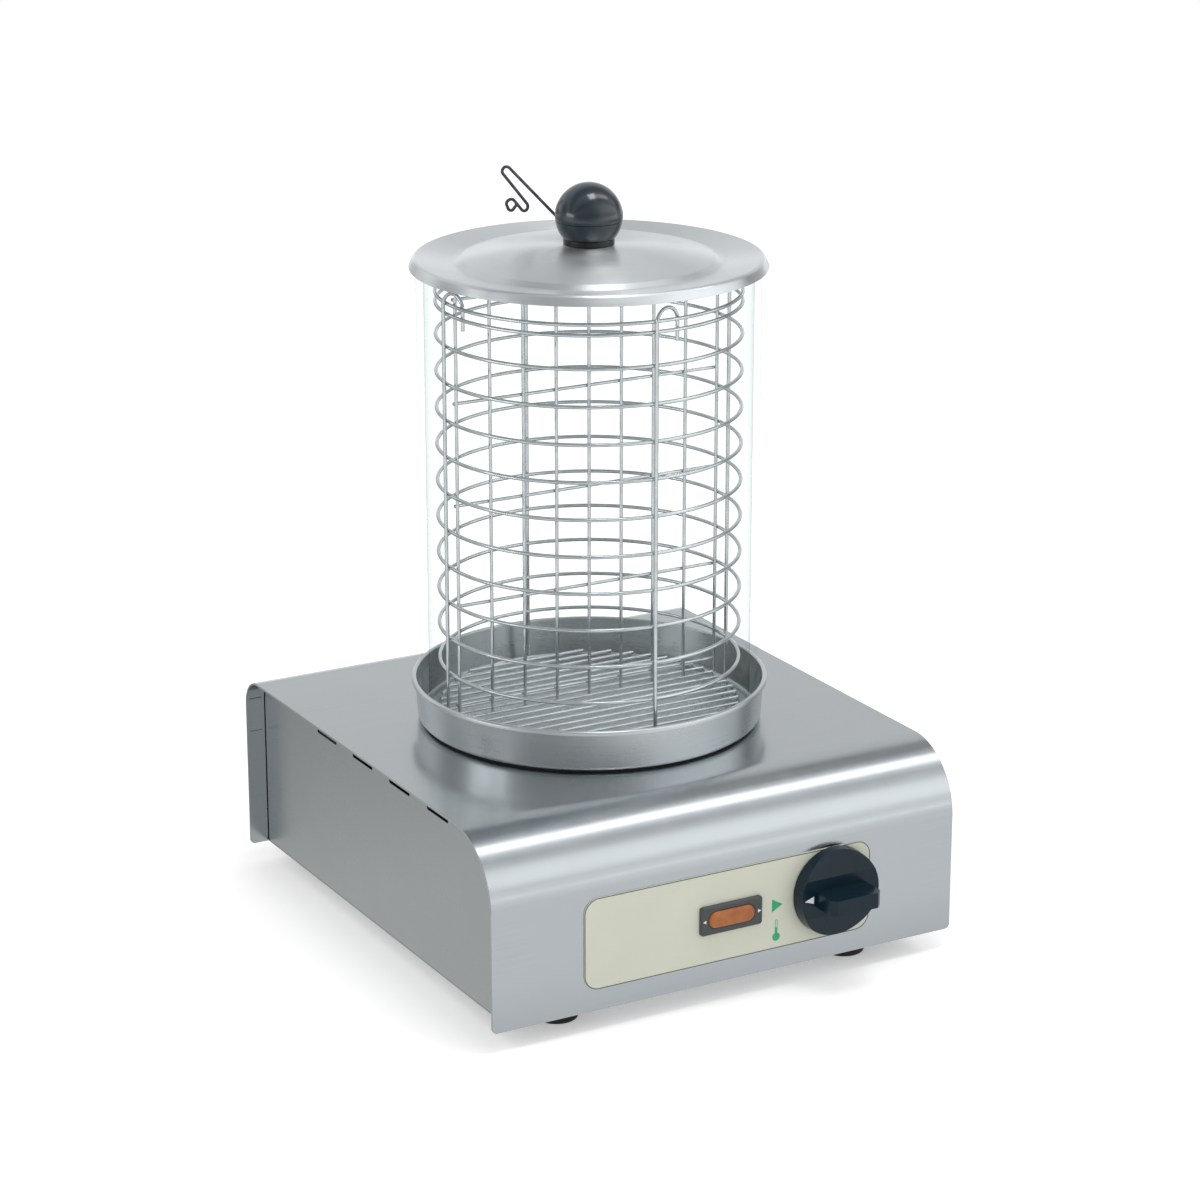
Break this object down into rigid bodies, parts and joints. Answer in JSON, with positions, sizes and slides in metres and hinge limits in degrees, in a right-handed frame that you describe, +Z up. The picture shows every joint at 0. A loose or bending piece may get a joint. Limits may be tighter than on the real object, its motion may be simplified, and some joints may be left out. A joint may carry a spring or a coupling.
{
  "type": "hot dog steamer",
  "caption": "Counter-top hot dog steamer: heated steel housing with a rotary control, a water tray, a glass cylinder, a divided wire basket and a lift-off lid with a ball knob.",
  "frame": {"origin": "on the table, under the middle of the overall footprint and of the glass cylinder", "axes": "+Z up through the glass cylinder, -Y out of the front panel, +X to the right seen from the front"},
  "size_m": [0.3, 0.3766, 0.4443],
  "materials": {
    "housing_steel": "brushed stainless sheet",
    "tray_steel": "spun stainless, fine concentric brushing",
    "lid_steel": "spun stainless, satin",
    "zinc_fixings": "bright zinc plated steel",
    "foot_rubber": "matte black rubber",
    "gasket_rubber": "black silicone gasket",
    "fascia_cream": "satin cream",
    "bezel_grey": "dark grey plastic",
    "lens_amber": "translucent amber plastic",
    "lamp_black": "black moulded plastic",
    "tab_brass": "tinned brass tabs",
    "knob_black": "blue-black moulded plastic, satin",
    "pointer_white": "white ink",
    "shaft_steel": "turned steel",
    "thermostat_beige": "off-white moulded plastic",
    "heater_aluminium": "cast aluminium",
    "element_sheath": "heat-darkened steel sheath",
    "bead_ceramic": "unglazed ceramic",
    "pin_steel": "plain steel",
    "cutout_brown": "brown phenolic",
    "copper": "drawn copper",
    "gland_black": "black nylon",
    "terminal_white": "white nylon",
    "terminal_brass": "nickelled brass",
    "clear_glass": "clear borosilicate glass",
    "basket_chrome": "bright plated wire",
    "ball_black": "blue-black moulded plastic, soft gloss",
    "collar_black": "black heat-resistant plastic",
    "hook_wire": "dark drawn steel wire"
  },
  "bodies": {
    "base": {"top_cover": "housing_steel", "side_panel_left": "housing_steel", "side_panel_right": "housing_steel", "bottom_plate": "housing_steel", "bottom_screws": "zinc_fixings", "rubber_feet": "foot_rubber", "foot_screws": "zinc_fixings", "foot_nuts": "zinc_fixings", "fascia_plate": "fascia_cream", "lamp_bezel": "bezel_grey", "lamp_lens": "lens_amber", "lamp_body": "lamp_black", "lamp_tabs": "tab_brass", "thermostat_body": "thermostat_beige", "thermostat_screws": "zinc_fixings", "thermostat_tabs": "tab_brass", "water_tray": "tray_steel", "tray_gasket": "gasket_rubber", "tray_studs": "zinc_fixings", "tray_washers": "zinc_fixings", "tray_nuts": "zinc_fixings", "heater_plate": "heater_aluminium", "heating_element": "element_sheath", "heater_insulators": "bead_ceramic", "heater_pins": "pin_steel", "heater_clamp": "pin_steel", "heater_stud": "zinc_fixings", "heater_nut": "zinc_fixings", "overheat_cutout": "cutout_brown", "cutout_tabs": "tab_brass", "sensor_bulb": "copper", "capillary_tube": "copper", "cable_gland": "gland_black", "gland_dome_nut": "gland_black", "gland_lock_nut": "gland_black", "terminal_block": "terminal_white", "terminal_screws": "terminal_brass"},
    "knob": {"control_knob": "knob_black", "knob_pointer": "pointer_white", "control_shaft": "shaft_steel"},
    "glass": {"glass_cylinder": "clear_glass"},
    "basket": {"basket_rings": "basket_chrome", "basket_uprights": "basket_chrome", "basket_floor_ring": "basket_chrome", "basket_floor_wires": "basket_chrome", "divider_uprights": "basket_chrome", "divider_bars": "basket_chrome"},
    "lid": {"lid": "lid_steel", "lid_knob": "ball_black", "knob_collar": "collar_black", "lid_screw": "zinc_fixings", "lid_washer": "zinc_fixings", "lid_hook": "hook_wire"}
  },
  "joints": [
    {"name": "knob_turn", "type": "hinge", "parent": "base", "child": "knob", "pos_m": [0.0675, -0.1616, 0.0538], "axis": [0, 1, 0], "range_deg": [0, 270]},
    {"name": "glass_lift", "type": "slide", "parent": "base", "child": "glass", "axis": [0, 0, 1], "range_m": [0, 0.4]},
    {"name": "lid_lift", "type": "slide", "parent": "glass", "child": "lid", "axis": [0, 0, 1], "range_m": [0, 0.38]},
    {"name": "basket_lift", "type": "slide", "parent": "base", "child": "basket", "axis": [0, 0, 1], "range_m": [0, 0.285]}
  ],
  "couplings": [
    {"joint": "basket_lift", "follows": "lid_lift", "ratio": 0.75}
  ]
}
